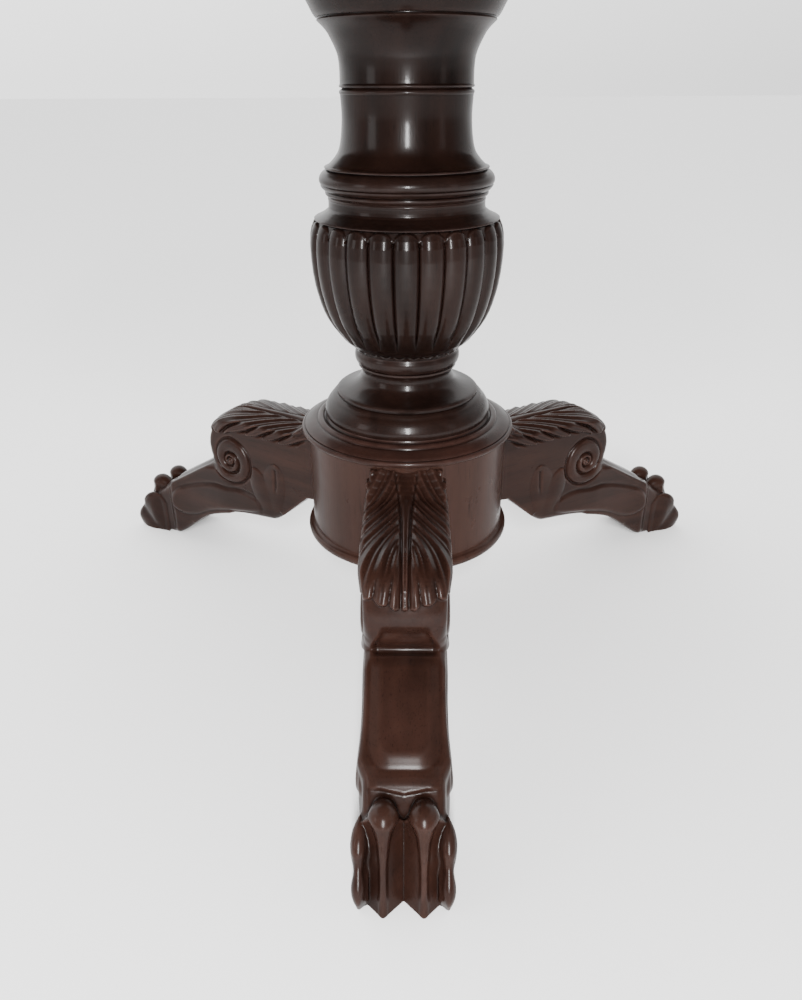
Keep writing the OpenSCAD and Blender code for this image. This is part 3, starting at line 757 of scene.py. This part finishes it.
def collar_outline():
    """Small bead, ogee and edge bead on top of the drum."""
    z = COLLAR_Z
    r = DRUM_R + 8
    return ([(DRUM_R - 2, z), (r - 4, z)]
            + curve((r - 4, z), (r + 0.6, z), (r + 0.6, z + 6), (r - 3.2, z + 6.2), 10)
            + [(r - 4.2, z + 6.0), (r - 4.2, z + 7.2)]
            + curve((r - 4.2, z + 7.2), (r - 8, z + 9.5), (r - 12, z + 12.4), (r - 17.2, z + 12.9), 8)
            + [(r - 18.4, z + 12.9), (r - 18.8, z + 13.6)]
            + curve((r - 18.8, z + 13.6), (r - 20.2, z + 17.2), (r - 25, z + 17.6), (r - 26.6, z + 15.4), 8)
            + [(r - 28.2, z + 15.2), (r - 29.4, z + 16.6), (r - 30, BASE_Z)])


def vase_radius(z):
    """Radius of the vase over the reeds' crests."""
    side = np.array([(57.2, 0), (57.0, 1.4), (57.6, 3.4), (58.6, 5), (62, 6.5), (69.7, 13), (76.1, 21),
                     (81.9, 29), (86.7, 37), (90.3, 45), (93.1, 53), (96.4, 65), (98.1, 73), (99.9, 85),
                     (100.9, 97), (101.2, 109), (100.3, 121), (98.6, 128), (96.6, 132.6), (95.2, 135.6),
                     (95.0, 137.4), (92.8, 138.2), (86.3, 141.4), (81.4, 144.8), (80.0, 147), (79.7, 150),
                     (79.7, 153.5), (80.3, 155.4), (79.6, 157)])
    return np.interp(z - VASE_Z, side[:, 1], side[:, 0])


def carve_vase(material):
    """Vase with 24 convex reeds that end in domes under its shoulder and in points above its foot."""
    count = 24
    around, up = ((864, 210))
    z = np.concatenate([np.linspace(VASE_Z, VASE_Z + 24, up // 3, endpoint=False),
                        np.linspace(VASE_Z + 24, VASE_Z + 116, up // 3, endpoint=False),
                        np.linspace(VASE_Z + 116, RING_Z, up // 3 + 1)])
    turn = np.linspace(0, 2 * pi, around, endpoint=False)
    height = (z - VASE_Z)[:, None]
    r = vase_radius(z)[:, None]
    across = ((turn[None, :] / (2 * pi) * count + 0.25 * count) % 1.0)
    across = np.minimum(across, 1 - across) * 2
    round_end = np.sqrt(np.clip(1 - across**2, 0, 1))
    dome_top = 124.0 + 12.0 * round_end
    low_end = 8.5 + 3.0 * (1 - across)
    inside = smooth_step(dome_top - height, -0.2, 2.2) * smooth_step(height - low_end, 0, 5)
    groove = 0.45 * (1 - np.sqrt(np.clip(1 - (across * 0.985) ** 2, 0, 1))) + 0.55 * across**2.6
    sink = 6.4 * smooth_step(height, 8, 34) * groove * inside
    recess = 3.6 * (1 - smooth_step(dome_top - height, -0.4, 2.0)) * smooth_step(height, 122, 127)
    sink = sink + recess * (1 - smooth_step(height, 134.6, 136.8))
    point = 6.5 - 5.0 * across
    leaflet = smooth_step(height, 1.0, 2.2) * (1 - smooth_step(height - point, -0.8, 0.4))
    rim = 1.2 * leaflet * (1 - 0.7 * across)
    radius = r - sink + rim
    points = np.stack([radius * np.cos(turn), radius * np.sin(turn), np.repeat(z[:, None], around, 1)], -1)
    low, high = VASE_Z - TENON_LEN, RING_Z - SOCKET_LEN
    inner = [(BORE_R, low), (TENON_R - 1, low), (TENON_R, low + 1), (TENON_R, VASE_Z)]
    outer = [(TENON_R + 0.2, RING_Z), (TENON_R + 0.2, high), (BORE_R, high)]

    def rings(pairs):
        return np.array([[(c * cos(a), c * sin(a), h) for a in turn] for c, h in pairs]).reshape(-1, 3)

    verts = np.concatenate([rings(inner), points.reshape(-1, 3), rings(outer)])
    faces = closed_rings(len(z) + len(inner) + len(outer), around)
    piece = make_piece("reeded_vase_carved", verts * MM, faces, material, "turned_wood", "reeded_vase")
    sharpen(piece, 40)
    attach(piece, "root")


# ---------------------------------------------------------------- the object

add_camera()
add_stage()
add_area_light("key", (0.05, -2.3, 1.25), (0, 0, 0.4), (0.2, 1.2), 185)
add_area_light("fill_left", (-2.0, -1.1, 0.9), (0, 0, 0.3), (0.6, 0.9), 10)
add_area_light("fill_right", (2.0, -1.0, 0.9), (0, 0, 0.3), (0.4, 0.9), 2)
carved = mahogany("carved_mahogany", (1, 0, 0), (0.0052, 0.0023, 0.0017), (0.0205, 0.0087, 0.0060),
                  coat=0.09, haze=0.22)
hub = mahogany("hub_mahogany", (0, 0, 1), (0.0075, 0.0034, 0.0026), (0.0170, 0.0073, 0.0054), 0.07)
drum = mahogany("drum_mahogany", (0, 0, 1), (0.0130, 0.0058, 0.0042), (0.0290, 0.0135, 0.0098),
                coat=0.07, wear_and_painted_light=0.0)
turned = mahogany("turned_mahogany", (0, 0, 1), (0.0026, 0.0014, 0.0011), (0.0100, 0.0046, 0.0034))
carve_legs(carved)
carve_vase(turned)
lathe("capital_turned", capital_outline(), turned, "turned_wood", "capital", TENON_LEN)
lathe("ring_turned", ring_outline(), turned, "turned_wood", "ring_turning", TENON_LEN, SOCKET_LEN)
lathe("base_turned", base_outline(), turned, "turned_wood", "column_base", TENON_LEN + 18, SOCKET_LEN)
lathe("collar_turned", collar_outline(), hub, "carved_wood", "hub_collar", bore=TENON_R + 0.2)

FINISH = {
    "polished_top": mahogany("top_mahogany", (1, 0, 0), (0.014, 0.0055, 0.0036), (0.048, 0.0185, 0.0115),
                             coat=0.3, roughness=0.24, wear_and_painted_light=0.0),
    "bearer_wood": mahogany("bearer_mahogany", (0, 1, 0), (0.050, 0.024, 0.013), (0.115, 0.055, 0.030),
                            coat=0.0, roughness=0.5, wear_and_painted_light=0.0),
    "turned_wood": turned,
    "carved_wood": drum,
    "steel": steel("plain_steel"),
}
for part in frame["record"]["subparts"]:
    node = part["node"]
    if node in LEG_ANGLES or node in TURNED:
        continue
    piece = frame["nodes"][node]
    piece.data.materials.clear()
    piece.data.materials.append(FINISH[part["material_slot"]])
